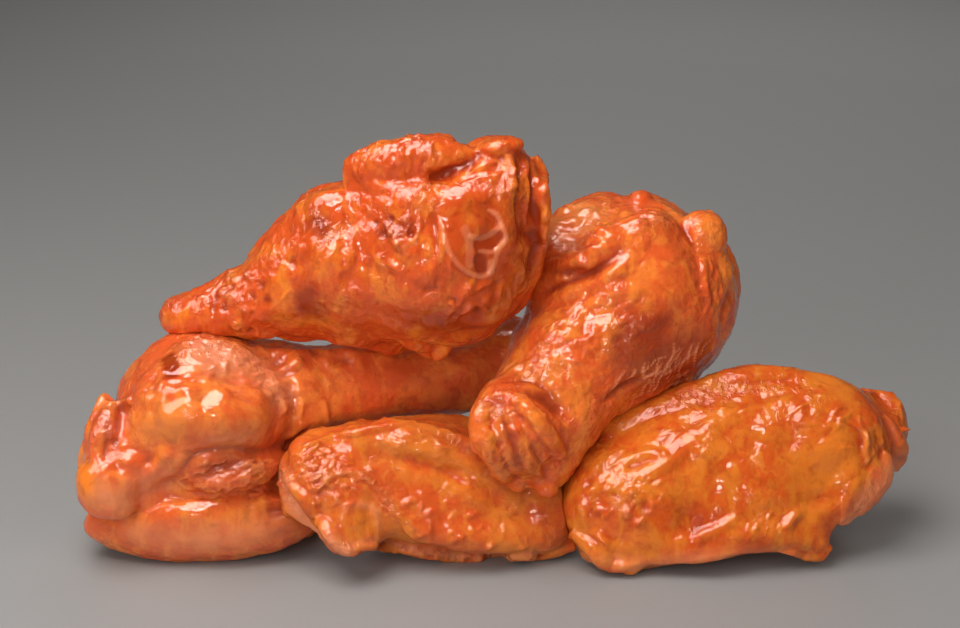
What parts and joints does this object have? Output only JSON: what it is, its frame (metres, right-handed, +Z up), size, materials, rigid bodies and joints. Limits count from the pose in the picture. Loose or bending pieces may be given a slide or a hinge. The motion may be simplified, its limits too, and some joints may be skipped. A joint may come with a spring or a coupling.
{
  "type": "serving of chicken wings",
  "caption": "Loose pile of sauced chicken wing drumettes and flats, leaning on each other as served, with a thick glossy orange-red glaze.",
  "frame": {"origin": "centre of the pile's box, on the surface that it lies on", "axes": "+X to the right along the pile's width, the longest extent; +Y to the back, the shortest extent; +Z up"},
  "size_m": [0.1932, 0.0676, 0.0986],
  "materials": {
    "sauce": "thick wet orange-red glaze over browned skin",
    "thin_sauce": "thinner wet glaze, the yellow-brown skin showing through"
  },
  "bodies": {
    "root": {"drumette_left": "sauce", "drumette_right": "sauce", "drumette_top": "sauce", "flat_front": "thin_sauce", "flat_right": "thin_sauce"}
  },
  "joints": []
}
